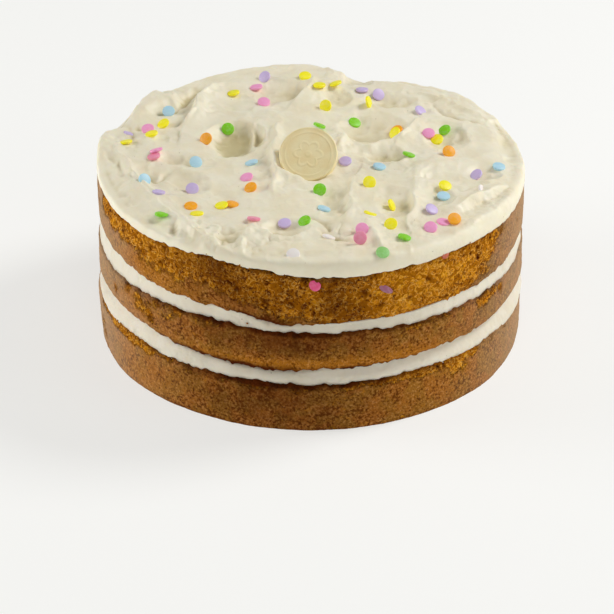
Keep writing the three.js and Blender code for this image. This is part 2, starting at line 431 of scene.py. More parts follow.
def crumb_group():
    """Baked surfaces: loose golden crumb or brown skin with dark gaps and pores; holes and darker-baked
    places also take painted shade.
    """
    name = "cake_baked_surface"
    if name in bpy.data.node_groups:
        return bpy.data.node_groups[name]
    tree, given, out = new_group(name, {"Place": "vector", "Open": "value", "Bake": "value", "Hole": "value",
                                        "Fresh": "value", "Gold": "colour", "Brown": "colour",
                                        "Dark": "colour"},
                                 {"Colour": "colour", "Roughness": "value", "Height": "value"})
    place = given.outputs["Place"]
    gold, brown, dark = (given.outputs[key] for key in ("Gold", "Brown", "Dark"))
    patch = grain(tree, place, 6 * MM, 2, 0.6)
    speckle = grain(tree, place, 1.3 * MM, 3, 0.65)
    fine = grain(tree, place, 0.8 * MM, 2, 0.6)
    clumps = grain(tree, place, 3.6 * MM, 1.5, 0.5, 1.6)
    strands = grain(tree, place, 2.4 * MM, 4, 0.7, 0.9)
    drift = maths(tree, "MULTIPLY", maths(tree, "SUBTRACT", patch, 0.5), 0.5)
    freshness = maths(tree, "MULTIPLY", given.outputs["Fresh"], 0.07)
    torn = maths(tree, "ADD", strands, maths(tree, "ADD", drift, freshness))

    # crumb: from deep gaps, through toasted and amber, to bright golden flecks, in drifting patches
    toasted = mix_colours(tree, 0.5, gold, dark)
    amber = mix_colours(tree, 0.25, gold, brown)
    bright = mix_colours(tree, 0.5, gold, (0.95, 0.46, 0.02))
    # the deepest crumb colour, for the gaps and for the painted shade in the pits
    deep = mix_colours(tree, 1.0, dark, (1.1, 0.6, 0.4), "MULTIPLY")
    crumb = mix_colours(tree, in_range(tree, torn, 0.36, 0.45), deep, toasted)
    crumb = mix_colours(tree, in_range(tree, torn, 0.42, 0.54), crumb, amber)
    crumb = mix_colours(tree, in_range(tree, torn, 0.52, 0.7), crumb, bright)
    crumb = mix_colours(tree, in_range(tree, clumps, 0.53, 0.38, 0.0, 0.9), crumb, toasted)
    fibre = maths(tree, "ABSOLUTE", maths(tree, "SUBTRACT", clumps, 0.54))
    crumb = mix_colours(tree, in_range(tree, fibre, 0.035, 0.006, 0.0, 0.65), crumb, (0.95, 0.53, 0.12))
    gaps = maths(tree, "MULTIPLY", in_range(tree, speckle, 0.46, 0.36, 0.0, 0.9),
                 in_range(tree, given.outputs["Fresh"], 0.1, 0.9, 1.0, 0.35))
    crumb = mix_colours(tree, gaps, crumb, deep)

    # skin: brown and finely mottled, with toasted flecks and small dark pores
    pores = add_node(tree, "ShaderNodeTexVoronoi", {"Vector": place, "Scale": 1 / (1.7 * MM)})
    pick = add_node(tree, "ShaderNodeSeparateColor", {"Color": pores.outputs["Color"]})
    pore = maths(tree, "MULTIPLY", in_range(tree, pores.outputs["Distance"], 0.36, 0.12),
                 maths(tree, "LESS_THAN", pick.outputs[2], 0.3))
    drifting = grain(tree, place, 11 * MM, 2, 0.6)
    ruddy = mix_colours(tree, 1.0, brown, (1.05, 0.93, 0.85), "MULTIPLY")
    dusky = mix_colours(tree, 1.0, brown, (0.9, 1.0, 0.9), "MULTIPLY")
    ground = mix_colours(tree, in_range(tree, drifting, 0.4, 0.6), ruddy, dusky)
    blond = mix_colours(tree, 0.55, gold, brown)
    blond_share = maths(tree, "MULTIPLY", given.outputs["Fresh"], 0.8, clamp=True)
    ground = mix_colours(tree, blond_share, ground, blond)
    pale = mix_colours(tree, 0.5, ground, (0.85, 0.42, 0.14))
    skin = mix_colours(tree, in_range(tree, speckle, 0.5, 0.66, 0.0, 0.7), ground, pale)
    skin = mix_colours(tree, in_range(tree, strands, 0.54, 0.7, 0.0, 0.5), skin, amber)
    mottle = maths(tree, "SUBTRACT", speckle, drift)
    mottle = maths(tree, "ADD", mottle, maths(tree, "MULTIPLY", given.outputs["Fresh"], 0.06))
    skin = mix_colours(tree, in_range(tree, mottle, 0.51, 0.35, 0.0, 0.78), skin, dark)
    skin = mix_colours(tree, in_range(tree, fine, 0.48, 0.36, 0.0, 0.45), skin, dark)
    skin = mix_colours(tree, maths(tree, "MULTIPLY", pore, 0.6), skin, dark)

    rough_open = in_range(tree, strands, 0.3, 0.7, -0.35, 0.35)
    opened = in_range(tree, maths(tree, "ADD", given.outputs["Open"], rough_open), 0.15, 0.85)
    base = mix_colours(tree, opened, skin, crumb)
    # darker baking and painted shade, as the layer's points give them
    baked = mix_colours(tree, given.outputs["Bake"], base, dark)
    # painted shade in the pits: they are mixed towards the deepest crumb colour
    holed = mix_colours(tree, maths(tree, "MULTIPLY", given.outputs["Hole"], 0.62), baked, deep)
    lumps = maths(tree, "ADD", maths(tree, "ADD", torn, clumps), maths(tree, "MULTIPLY", speckle, 0.5))
    lumps = maths(tree, "MULTIPLY", lumps, in_range(tree, opened, 0, 1, 0.6, 1.5))
    height = maths(tree, "ADD", lumps, maths(tree, "MULTIPLY", fine, 0.15))
    height = maths(tree, "SUBTRACT", height, maths(tree, "MULTIPLY", pore, 0.4))
    rough = in_range(tree, fine, 0.2, 0.8, 0.75, 0.95)
    tree.links.new(holed, out.inputs["Colour"])
    tree.links.new(rough, out.inputs["Roughness"])
    tree.links.new(height, out.inputs["Height"])
    return tree


def new_material(name):
    """A new material: itself, its tree, its surface shader and the object's own coordinates."""
    material = bpy.data.materials.new(name)
    material.use_nodes = True
    tree = material.node_tree
    shader = tree.nodes["Principled BSDF"]
    place = add_node(tree, "ShaderNodeTexCoord").outputs["Object"]
    return material, tree, shader, place


def raise_surface(tree, shader, height, distance, strength=1.0):
    bump = add_node(tree, "ShaderNodeBump", {"Height": height, "Distance": distance, "Strength": strength})
    tree.links.new(bump.outputs["Normal"], shader.inputs["Normal"])


def let_light_in(shader, weight, radius, depth):
    """Lets light a little way into the surface, by a share for each colour."""
    shader.inputs["Subsurface Weight"].default_value = weight
    shader.inputs["Subsurface Radius"].default_value = radius
    shader.inputs["Subsurface Scale"].default_value = depth


def whipped_material(name, colour, shade, speck, speck_share, bump):
    """Icing or cream: pale, soft, and a little translucent."""
    material, tree, shader, place = new_material(name)
    # the painted shade of the icing's hollows, kept on its points
    hollow = add_node(tree, "ShaderNodeAttribute", attribute_name="hollow").outputs["Fac"]
    surface = place_group(tree, cream_group(), {
        "Place": place, "Colour": (*colour, 1), "Shade": (*shade, 1), "Speck": (*speck, 1),
        "Speck share": speck_share, "Hollow": hollow})
    tree.links.new(surface.outputs["Colour"], shader.inputs["Base Color"])
    tree.links.new(surface.outputs["Roughness"], shader.inputs["Roughness"])
    raise_surface(tree, shader, surface.outputs["Height"], bump)
    let_light_in(shader, 0.25, (1.0, 0.75, 0.45), 2.5 * MM)
    shader.inputs["Specular IOR Level"].default_value = 0.4
    return material


def baked_material(name, colours):
    """Sponge: its open, baked and hole values come from the piece's points, and a painted sheen pales it at
    glancing angles.
    """
    material, tree, shader, place = new_material(name)
    masks = {key: add_node(tree, "ShaderNodeAttribute", attribute_name=key.lower()).outputs["Fac"]
             for key in ("Open", "Bake", "Hole", "Fresh")}
    surface = place_group(tree, crumb_group(), {
        "Place": place, "Gold": (*colours.gold, 1), "Brown": (*colours.brown, 1),
        "Dark": (*colours.dark, 1), **masks})
    # Painted sheen: a pale tan mixed in where the side is seen at a glancing angle, except on open crumb and
    # in holes.
    outward = maths_vector(tree, "NORMALIZE", maths_vector(tree, "MULTIPLY", place, (1, 1, 0)), (0, 0, 0))
    outward = add_node(tree, "ShaderNodeVectorTransform", {"Vector": outward}, vector_type="NORMAL",
                       convert_from="OBJECT", convert_to="WORLD").outputs["Vector"]
    facing = add_node(tree, "ShaderNodeLayerWeight", {"Blend": 0.5, "Normal": outward}).outputs["Facing"]
    glancing_sheen = in_range(tree, facing, 0.25, 0.95, 0.0, 0.5)
    torn_open = maths(tree, "MULTIPLY", maths(tree, "ADD", masks["Open"], masks["Fresh"]), 0.5)
    whole = in_range(tree, maths(tree, "ADD", masks["Hole"], torn_open), 0.5, 0.1)
    glancing_sheen = maths(tree, "MULTIPLY", glancing_sheen, whole)
    tree.links.new(mix_colours(tree, glancing_sheen, surface.outputs["Colour"], daylight(200, 174, 142)),
                   shader.inputs["Base Color"])
    tree.links.new(surface.outputs["Roughness"], shader.inputs["Roughness"])
    raise_surface(tree, shader, surface.outputs["Height"], 0.7 * MM)
    shader.inputs["Specular IOR Level"].default_value = 0.05
    return material


def sugar_material(name, colour):
    """Confetti: pressed sugar with a faint mottle, a soft gloss and a faint painted glow in its own colour.
    """
    material, tree, shader, place = new_material(name)
    cloud = in_range(tree, grain(tree, place, 1.6 * MM, 2), 0.4, 0.7, 0.0, 0.25)
    paler = tuple(0.65 * part + 0.35 for part in colour)
    tree.links.new(mix_colours(tree, cloud, colour, paler), shader.inputs["Base Color"])
    fine = grain(tree, place, 0.4 * MM, 2)
    tree.links.new(in_range(tree, fine, 0.3, 0.7, 0.32, 0.5), shader.inputs["Roughness"])
    raise_surface(tree, shader, fine, 0.08 * MM)
    shader.inputs["Subsurface Weight"].default_value = 0.1
    shader.inputs["Subsurface Scale"].default_value = 1.0 * MM
    # painted light: the sugar glows faintly in its own colour, brighter than its colour alone
    shader.inputs["Emission Color"].default_value = (*colour, 1)
    shader.inputs["Emission Strength"].default_value = 0.07
    return material


def chocolate_material(colour):
    material, tree, shader, place = new_material("white_chocolate")
    cloud = in_range(tree, grain(tree, place, 6 * MM, 3), 0.35, 0.7)
    warm = tuple(part * tint for part, tint in zip(colour, (0.97, 0.93, 0.84)))
    tree.links.new(mix_colours(tree, cloud, colour, warm), shader.inputs["Base Color"])
    fine = grain(tree, place, 0.6 * MM, 3)
    tree.links.new(in_range(tree, fine, 0.3, 0.7, 0.38, 0.52), shader.inputs["Roughness"])
    raise_surface(tree, shader, fine, 0.06 * MM)
    let_light_in(shader, 0.2, (1.0, 0.8, 0.5), 1.5 * MM)
    return material


# ---------------------------------------------------------------- sponge

SPONGE_SEGMENTS = 1200
ROW_HEIGHT = 0.52 * MM
FLAT_RINGS = (0.6, 0.93)     # where the rings of a layer's flat faces lie, as shares of its radius

# Where the skin has come away and the golden crumb shows, where it is baked darker and shade is painted,
# and where a layer bulges: (degrees from +X, share of the layer's height, degrees wide, share high, amount).
OPEN_CRUMB = {
    "sponge_bottom": ((-46, 0.75, 6, 0.3, 0.35), (-150, 0.95, 14, 0.15, 0.6), (-110, 0.95, 70, 0.14, 0.45),
                      (-166, 0.3, 6, 0.3, 0.4), (-60, 0.95, 30, 0.12, 0.4), (-60, 0.05, 40, 0.05, 0.3),
                      (40, 0.7, 30, 0.3, 0.6), (120, 0.6, 35, 0.4, 0.5)),
    "sponge_middle": ((-148, 0.65, 10, 0.4, 0.2), (-132, 0.6, 12, 0.5, 0.4), (-35, 0.85, 10, 0.2, 0.5),
                      (-60, 0.95, 20, 0.12, 0.4), (-110, 0.95, 40, 0.1, 0.3), (60, 0.6, 40, 0.4, 0.6),
                      (150, 0.4, 30, 0.3, 0.5)),
    "sponge_top": ((-152, 0.85, 16, 0.3, 1.0), (-130, 0.8, 12, 0.35, 1.0), (-112, 0.7, 12, 0.4, 0.9),
                   (-96, 0.6, 9, 0.5, 0.9), (-82, 0.4, 8, 0.4, 0.8), (-66, 0.6, 13, 0.9, 1.2),
                   (-50, 0.55, 12, 0.8, 1.0), (-37, 0.75, 10, 0.4, 0.6), (30, 0.6, 30, 0.5, 0.8),
                   (90, 0.7, 24, 0.4, 0.7), (150, 0.5, 30, 0.5, 0.8)),
}
FRESH_CRUMB = {
    "sponge_bottom": ((-46, 0.7, 9, 0.35, 0.3), (-140, 0.4, 18, 0.8, 0.5), (-60, 0.6, 16, 0.6, 0.35),
                      (40, 0.7, 30, 0.3, 0.4)),
    "sponge_middle": ((-145, 0.6, 16, 0.4, 0.5), (-88, 0.12, 34, 0.18, 1.6), (-72, 0.3, 12, 0.3, 0.4),
                      (60, 0.6, 40, 0.4, 0.4)),
    "sponge_top": ((-66, 0.75, 10, 0.6, 0.75), (-56, 0.65, 11, 0.8, 0.8), (-148, 0.9, 18, 0.2, 0.35),
                   (-136, 0.25, 15, 0.4, 0.8), (-130, 0.85, 12, 0.15, 0.4), (-40, 0.9, 12, 0.3, 0.2),
                   (30, 0.6, 30, 0.5, 0.6), (100, 0.7, 30, 0.4, 0.6)),
}
# Darker baking and painted shade: darker over the front, away from the lights, and along the seams' edges.
DARK_BAKE_AND_SHADE = {
    "sponge_bottom": ((-99, 0.65, 25, 0.8, 0.58), (-95, 1.0, 50, 0.09, 0.9), (-110, 0.0, 60, 0.06, 0.3)),
    "sponge_middle": ((-97, 0.7, 24, 0.35, 0.68), (-90, 1.0, 80, 0.09, 0.8), (-114, 0.0, 24, 0.1, 1.4),
                      (-74, 0.0, 16, 0.08, 1.2)),
    "sponge_top": ((-82, 0.5, 7, 0.7, 0.4), (-111, 0.6, 12, 0.6, 0.4), (-102, 0.0, 8, 0.07, 1.2),
                   (-90, 1.0, 90, 0.06, 0.35), (-123, 0.85, 14, 0.3, 0.3), (-95, 0.6, 14, 0.8, 0.2)),
}
BULGES = {
    "sponge_bottom": ((176, 0.75, 10, 0.3, 1.4), (-90, 0.2, 50, 0.8, 0.7), (0, 0.5, 40, 1.0, -0.9)),
    "sponge_middle": ((178, 0.4, 12, 0.5, 0.6), (-98, 0.0, 9, 0.12, 2.8), (-116, 0.0, 18, 0.14, 1.2)),
    "sponge_top": ((-150, 0.3, 20, 0.5, 0.4), (-99, 0.0, 6, 0.1, 2.4)),
    "filling_lower": ((180, 0.5, 24, 1.0, 1.4), (0, 0.5, 24, 1.0, 1.0), (-100, 0.95, 7, 0.12, -2.2),
                      (-114, 1.0, 20, 0.18, -1.8)),
    "filling_upper": ((180, 0.5, 24, 1.0, 1.2), (0, 0.5, 24, 1.0, 0.6), (-99, 0.95, 5, 0.2, -2.6)),
}


def patchwork(angle, share, patches):
    """The sum of soft patches on the side of a layer."""
    degrees = np.degrees(angle)
    total = np.zeros(len(angle))
    for place, height, wide, tall, amount in patches:
        across = ((degrees - place + 180) % 360 - 180) / wide
        total += amount * np.exp(-across ** 2 - ((share - height) / tall) ** 2)
    return total


def turned_layer(name, low, high, rows, segments):
    """A plain layer: in over its base, up its side in even rows, and in over its top."""
    side = [(RADIUS, low + (high - low) * row / rows) for row in range(rows + 1)]
    inner, outer = (share * RADIUS for share in FLAT_RINGS)
    return turned(name, [(inner, low), (outer, low), *side, (outer, high), (inner, high)], segments)


def places_in_layer(co, low, high):
    """Each point's angle, its radius, its share of the height, and how far it is on the side."""
    angle = np.arctan2(co[:, 1], co[:, 0])
    radius = np.hypot(co[:, 0], co[:, 1])
    return angle, radius, (co[:, 2] - low) / (high - low), eased(radius / RADIUS, 0.9, 1.0)


def reshape_layer(obj, co, radius, grown, height):
    """Moves each point out or in to its new radius, and to its new height."""
    stretch = np.where(radius > 0, grown / np.maximum(radius, 1e-9), 1)
    move_points(obj, np.column_stack([co[:, 0] * stretch, co[:, 1] * stretch, height]))
    smooth(obj)


def sponge_layer(name, floor, ceiling, growth, undercut, shift, pit_depth):
    """A baked layer between two seams: turned, then given its uneven edges, crumb and holes."""
    low = SEAM_LEVELS.get(floor, BASE)
    high = SEAM_LEVELS[ceiling]
    obj = turned_layer(name, low, high, round((high - low) / ROW_HEIGHT), SPONGE_SEGMENTS)

    co = points_of(obj)
    angle, radius, share, on_side = places_in_layer(co, low, high)
    speckle = layered_noise(co, 6 * MM, shift)
    opened = eased(patchwork(angle, share, OPEN_CRUMB[name]) + 0.4 * speckle, 0.2, 0.7)
    # darker baking together with painted shade over the front and along the seams
    bake = patchwork(angle, share, DARK_BAKE_AND_SHADE[name]) * (1 + 0.5 * speckle) + 0.1 * speckle

    bent = co + 2.2 * MM * np.column_stack([layered_noise(co, 3 * MM, shift + step, 2) for step in (2, 6, 9)])
    crumb = layered_noise(bent, 2.2 * MM, shift + 3, 2)
    hole = pits(bent * (1, 1, 0.8), 3.0 * MM, 0.36, shift + 5) * (0.12 + 0.88 * opened)
    relief = (0.18 + 0.4 * opened) * MM * crumb - 0.4 * MM * opened
    relief += 0.45 * MM * layered_noise(co, 26 * MM, shift + 9) + 0.25 * MM * noise(co, 9 * MM, shift + 1)
    under = undercut * MM * np.clip(1 - share / 0.3, 0, 1) ** 2
    over = 0.3 * MM * np.clip((share - 0.95) / 0.05, 0, 1) ** 2
    bulge = MM * patchwork(angle, share, BULGES[name])
    grown = radius + on_side * (growth * MM + bulge + relief - under - over - pit_depth * hole)

    ragged = 0.7 * layered_noise(co, 6 * MM, shift + 13) + 1.5 * layered_noise(co, 3 * MM, shift + 4)
    edge = on_side * MM * ragged
    reach = radius / RADIUS
    bottom = seam(floor, angle, reach) if floor else np.full(len(co), BASE)
    top = seam(ceiling, angle, reach)
    z = bottom + (top - bottom) * share + edge * eased(share, 0.8, 1.0)
    if floor:
        z += edge * eased(share, 0.2, 0.0)
    reshape_layer(obj, co, radius, grown, z)
    paint(obj, "open", opened)
    paint(obj, "bake", bake)
    paint(obj, "fresh", patchwork(angle, share, FRESH_CRUMB[name]) + 0.15 * speckle)
    paint(obj, "hole", eased(hole, 0.1, 0.7) * on_side)
    return obj


class CAKE_OT_sponges(bpy.types.Operator):
    """Bakes the three sponge layers"""
    bl_idname = "cake.sponges"
    bl_label = "Sponge layers"

    def execute(self, context):
        material = baked_material("baked_sponge", context.scene.cake_colours)
        depth = context.scene.cake_sizes.pit_depth
        layers = (("sponge_bottom", None, "bottom_sponge", 1.5, 0.4, 0.0),
                  ("sponge_middle", "lower_filling", "middle_sponge", 1.0, 3.2, 17.0),
                  ("sponge_top", "upper_filling", "top_sponge", 0.8, 2.0, 31.0))
        for name, floor, ceiling, growth, undercut, shift in layers:
            layer = sponge_layer(name, floor, ceiling, growth, undercut, shift, depth)
            layer.name = name + "_baked"
            finish_piece(layer, material, "sponge", name)
        return {"FINISHED"}


# ---------------------------------------------------------------- cream fillings

FILLING_SEGMENTS = 900
FILLING_ROWS = 14
FILLING_LAP = 0.6 * MM


def filling(name, floor, ceiling, low_inset, high_inset, shift):
    """A band of cream between two seams, a little lapped over both so that no gap shows."""
    low = SEAM_LEVELS[floor] - FILLING_LAP
    high = SEAM_LEVELS[ceiling] + FILLING_LAP
    obj = turned_layer(name, low, high, FILLING_ROWS, FILLING_SEGMENTS)

    co = points_of(obj)
    angle, radius, share, on_side = places_in_layer(co, low, high)
    smeared = co * (1, 1, 3)
    relief = 0.5 * layered_noise(smeared, 18 * MM, shift) + 0.3 * layered_noise(co, 4 * MM, shift + 4)
    relief -= 0.4 * pits(co, 3 * MM, 0.18, shift)
    inset = low_inset + (high_inset - low_inset) * eased(share, 0.15, 1.0)
    bulge = patchwork(angle, share, BULGES[name])
    grown = radius + on_side * MM * (relief + bulge - inset)
    reach = radius / RADIUS
    bottom = seam(floor, angle, reach) - FILLING_LAP
    top = seam(ceiling, angle, reach) + FILLING_LAP
    reshape_layer(obj, co, radius, grown, bottom + (top - bottom) * share)
    return obj


class CAKE_OT_fillings(bpy.types.Operator):
    """Spreads the two cream fillings"""
    bl_idname = "cake.fillings"
    bl_label = "Cream fillings"

    def execute(self, context):
        cream = tuple(context.scene.cake_colours.cream)
        shade = tuple(part * tint for part, tint in zip(cream, (0.93, 0.91, 0.87)))
        material = whipped_material("whipped_cream", cream, shade, (0.35, 0.25, 0.12), 0.05, 0.4 * MM)
        layers = (("filling_lower", "bottom_sponge", "lower_filling", -0.4, 2.6, 3.0),
                  ("filling_upper", "middle_sponge", "upper_filling", 0.4, 1.2, 12.0))
        for name, floor, ceiling, low_inset, high_inset, shift in layers:
            layer = filling(name, floor, ceiling, low_inset, high_inset, shift)
            layer.name = name + "_spread"
            finish_piece(layer, material, "cream", name)
        return {"FINISHED"}


# ---------------------------------------------------------------- icing

ICING_CELLS = 288

# The marks in the icing are listed in millimetres from the middle of the cake, where the camera's line of
# sight to each of them meets a level 1.4 mm over the icing's. The icing lies lower, and so further back
# along that line, and a raised crest lies nearer to the front.
LISTED_TO_ICING = 2.4
CREST_TO_FRONT = 1.2     # for each millimetre that it rises

# Strokes of the spatula: where a stroke starts, a point that it passes through, where it ends, its
# rise (a trough if negative), its widths to the left and to the right of its path, and how round
# its crest is (1 sharp, 2 round).
STROKES_BY_PLACE = {
    "back rim": (
        ((15, 84), (23, 83), (33, 79), -14.0, 8, 9, 2),
        ((15, 77), (23, 77), (31, 75), -4.5, 7, 7, 2),
        ((34, 88), (46, 81), (59, 71), -3.4, 8, 6, 2),
        ((82, 52), (85, 48), (88, 44), -3.0, 3, 3, 2),
        ((-88, 42), (-79, 57), (-71, 66), 4.6, 6, 6, 2),
        ((-84, 54), (-79, 60), (-75, 64), 2.0, 3, 3, 2),
        ((-52, 82), (-36, 90), (-16, 96), 1.0, 7, 7, 2),
        ((-20, 95), (-6, 98), (7, 98), 1.0, 6, 6, 2),
        ((7, 98), (10, 92), (9, 84), 1.6, 8, 3, 1.5),
        ((88, 36), (94, 20), (96, -10), -3.4, 6, 6, 2),
        ((-97, 26), (-93, 33), (-88, 42), -5.0, 4, 4, 2),
        ((-100, 24), (-98, 12), (-96, -4), 3.4, 6, 5, 2),
        ((52, 64), (66, 55), (87, 36), 1.8, 7, 1.8, 1.3),
        ((58, 50), (67, 39), (84, 28), -1.7, 1.6, 1.8, 1.5),
    ),
    "back": (
        ((3, 78), (-2, 66), (-10, 52), 3.4, 9, 1.6, 1.2),
        ((-26, 52), (-20, 44), (-13, 36), 1.8, 3, 6, 1.6),
        ((-3, 70), (5, 74), (12, 69), 2.2, 5, 6, 1.8),
        ((-45, 76), (-53, 58), (-61, 30), 6.4, 7.0, 1.6, 1.2),
        ((-53, 70), (-60, 56), (-66, 42), -3.2, 3, 4, 1.6),
        ((-68, 66), (-68, 58), (-64, 50), 2.0, 3, 3, 1.8),
        ((-66, 44), (-70, 40), (-78, 38), -1.6, 2, 2, 1.6),
    ),
    "middle": (
        ((50, 37), (46, 26), (41, 14), 3.4, 7, 1.7, 1.2),
        ((15, 10), (27, 6), (38, 14), 2.6, 1.4, 5, 1.3),
        ((13, 25), (23, 21), (35, 22), 1.6, 1.4, 3, 1.3),
        ((8, 18), (14, 15), (14, 5), 4.8, 3.2, 3.2, 1.8),
        ((-15, 34), (-17, 8), (-17, -34), 4.2, 3.6, 2.0, 1.3),
        ((-16, -17), (-11, -23), (-4, -26), 1.5, 2.4, 2.4, 1.6),
        ((-90, 30), (-86, 20), (-84, 6), -1.8, 3.5, 2.6, 1.5),
        ((-80, 26), (-77, 12), (-78, 0), 2.6, 6, 4, 1.6),
        ((-86, 28), (-82, 24), (-78, 22), -2.4, 2, 2, 1.6),
    ),
    "left rim": (
        ((-92, 8), (-80, -32), (-44, -86), 3.6, 5, 3.2, 1.2),
        ((-98, 4), (-92, -14), (-82, -32), -1.7, 3.2, 3.2, 1.6),
        ((-90, -6), (-85, -18), (-79, -28), 1.6, 2.0, 2.0, 1.4),
        ((-84, -14), (-77, -34), (-64, -50), 1.8, 3.2, 1.4, 1.3),
        ((-99, 8), (-93, -18), (-70, -60), 1.8, 3, 4, 1.6),
        ((-74, -24), (-71, -32), (-66, -22), -1.8, 1.8, 1.8, 1.5),
        ((-62, -14), (-54, -19), (-44, -16), 1.6, 3, 3, 1.6),
    ),
    "front": (
        ((-27, -66), (-30, -78), (-32, -92), 2.6, 4, 2.4, 1.4),
        ((-48, -76), (-45, -85), (-36, -93), 2.2, 3, 2.6, 1.5),
        ((-60, -70), (-62, -76), (-60, -80), -1.2, 2.4, 2.4, 1.6),
        ((-56, -66), (-54, -74), (-50, -82), 2.0, 3, 3, 1.5),
        ((0, -62), (7, -70), (10, -80), -1.8, 2.0, 2.0, 1.5),
        ((4, -78), (10, -84), (19, -88), -2.0, 1.6, 1.6, 1.5),
    ),
    "front right": (
        ((21, -22), (18, -44), (15, -68), 3.4, 8, 1.8, 1.2),
        ((24, -64), (28, -74), (34, -90), 2.6, 5, 3, 1.5),
        ((68, -8), (54, -14), (49, -24), 3.1, 6, 7, 1.7),
        ((48, -24), (47, -44), (44, -68), 2.7, 7, 1.8, 1.2),
        ((62, -56), (76, -42), (91, -27), 2.8, 3.8, 3.0, 1.3),
        ((68, -60), (80, -48), (93, -32), -1.4, 2.4, 2.4, 1.5),
        ((66, -66), (82, -54), (95, -36), 1.8, 3, 3, 1.6),
    ),
}
# The dollop that the disc leans on, at its true place.
DOLLOP = ((-9, 0), (1, 2), (10, -1), 9.5, 9, 13, 2)

# Scoops of the spoon: the middle, half the length, half the width, the turn in degrees, the depth,
# the height of the lip pushed up on one side, and the way of that side in degrees.
LISTED_SCOOPS = (
    ((-16, 66), 15, 14, 0, 3.6, 1.4, -30),
    ((-36, 15), 17, 14, 96, 6.0, 0.5, 60),
    ((-38, 6), 20, 17, 96, 2.2, 0.0, 0),
    ((-24.5, 18), 12.5, 3.3, 92, 0.9, 1.3, 0),
    ((-24.5, 18), 12.5, 3.3, 92, 0.9, 1.3, 180),
    ((28, 26), 20, 17, 90, 5.4, 1.3, -50),
    ((35, -3), 11, 8, 0, 3.4, 1.4, -40),
    ((64, 18), 16, 11, 90, 2.6, 1.0, -10),
    ((38, -50), 16, 9.5, 92, 2.1, 1.2, 0),
    ((9, -48), 18, 8, 92, 2.4, 0.4, 0),
    ((-56, -32), 11, 10, 0, 2.2, 0.6, 20),
    ((-12, -72), 12, 9, 0, 2.7, 1.4, -80),
    ((-38, -80), 8, 6, 100, 1.8, 0.8, 0),
    ((-62, -6), 13, 8, -20, 2.6, 0.8, -80),
    ((-40, -44), 20, 15, 90, 2.0, 0.0, 0),
    ((38, 56), 14, 9, -20, 3.6, 0.8, -90),
    ((12, 57), 10, 8, 90, 2.2, 1.0, 0),
    ((56, -46), 12, 9, 60, 1.9, 0.9, -40),
    ((80, -20), 10, 9, 60, 2.1, 0.9, -60),
)
# Places where the icing is curdled: the place, how far it reaches, and how strong it is as a share.
LISTED_CURDLED = (
    ((-20, -82), 13, 1.1), ((-40, -82), 14, 1.2), ((-58, -73), 11, 0.7), ((-80, -32), 11, 0.5),
    ((-91, 10), 11, 0.6), ((-61, 58), 12, 0.4), ((-50, 44), 10, 0.5), ((-10, -32), 9, 0.3),
    ((14, -79), 10, 1.0), ((79, -42), 14, 0.8), ((58, 56), 15, 0.7), ((78, 38), 9, 0.6),
    ((20, 6), 7, 0.4), ((31, -84), 9, 0.5), ((-24, 36), 9, 0.4), ((46, -20), 9, 0.4),
)
DRAG_MARKS = 0.22        # height in mm of the fine lines that a spatula drags along its stroke
THINNEST_ICING = 0.8     # mm of icing left over the sponge under the deepest scoop
CLAMP_REACH = 3          # mm over the thinnest icing within which a scoop is eased off
DEEPEST_SHADE = ((-34, 24), (12, 15))    # middle and reach in mm of the shade in the deepest scoop
LAP_ON_DISC = 2.2        # mm that the icing laps over the disc's lower edge
LAPS = ((-120, 24, 1.0), (-50, 14, 0.6))    # degrees from +X round the disc, degrees wide, share of that lap


def on_icing(place, rise=0.0):
    """A listed place brought down the line of sight to the icing, to the nearest millimetre."""
    return place[0], round(place[1] + LISTED_TO_ICING - CREST_TO_FRONT * rise)


STROKES = tuple((*(on_icing(point, stroke[3]) for point in stroke[:3]), *stroke[3:])
                for strokes in STROKES_BY_PLACE.values() for stroke in strokes)
# a scoop's lip stands out half as much as a crest of its height
SCOOPS = tuple((on_icing(scoop[0], scoop[5] / 2), *scoop[1:]) for scoop in LISTED_SCOOPS)
CURDLED = tuple((on_icing(place), reach, amount) for place, reach, amount in LISTED_CURDLED)


def stroke_height(x, y, stroke):
    """The height that one stroke adds at each place, all in millimetres."""
    start, through, end, rise, left, right, crest = stroke
    start, through, end = (np.array(point, float) for point in (start, through, end))
    bend = 2 * through - (start + end) / 2
    share = np.linspace(0, 1, 13)[:, None]
    path = (1 - share) ** 2 * start + 2 * share * (1 - share) * bend + share ** 2 * end
    nearest = np.full(len(x), np.inf)
    side = np.ones(len(x))
    travel = np.zeros(len(x))
    way = np.zeros(len(x))
    for step, (a, b) in enumerate(zip(path, path[1:])):
        run = b - a
        along = np.clip(((x - a[0]) * run[0] + (y - a[1]) * run[1]) / (run @ run), 0, 1)
        away = np.hypot(x - a[0] - along * run[0], y - a[1] - along * run[1])
        closer = away < nearest
        nearest = np.where(closer, away, nearest)
        side = np.where(closer, np.sign(run[0] * (y - a[1]) - run[1] * (x - a[0])), side)
        travel = np.where(closer, (step + along) * math.sqrt(run @ run), travel)
        way = np.where(closer, (step + along) / (len(path) - 1), way)
    width = np.where(side > 0, left, right)
    body = np.exp(-(nearest / width) ** crest)
    drag = noise(np.column_stack([side * nearest, 0.12 * travel, 0 * travel]), 1.6, start[0])
    tapered = 1 - 0.6 * (2 * way - 1) ** 4
    return rise * tapered * body + DRAG_MARKS * drag * np.exp(-(nearest / width) ** 4)


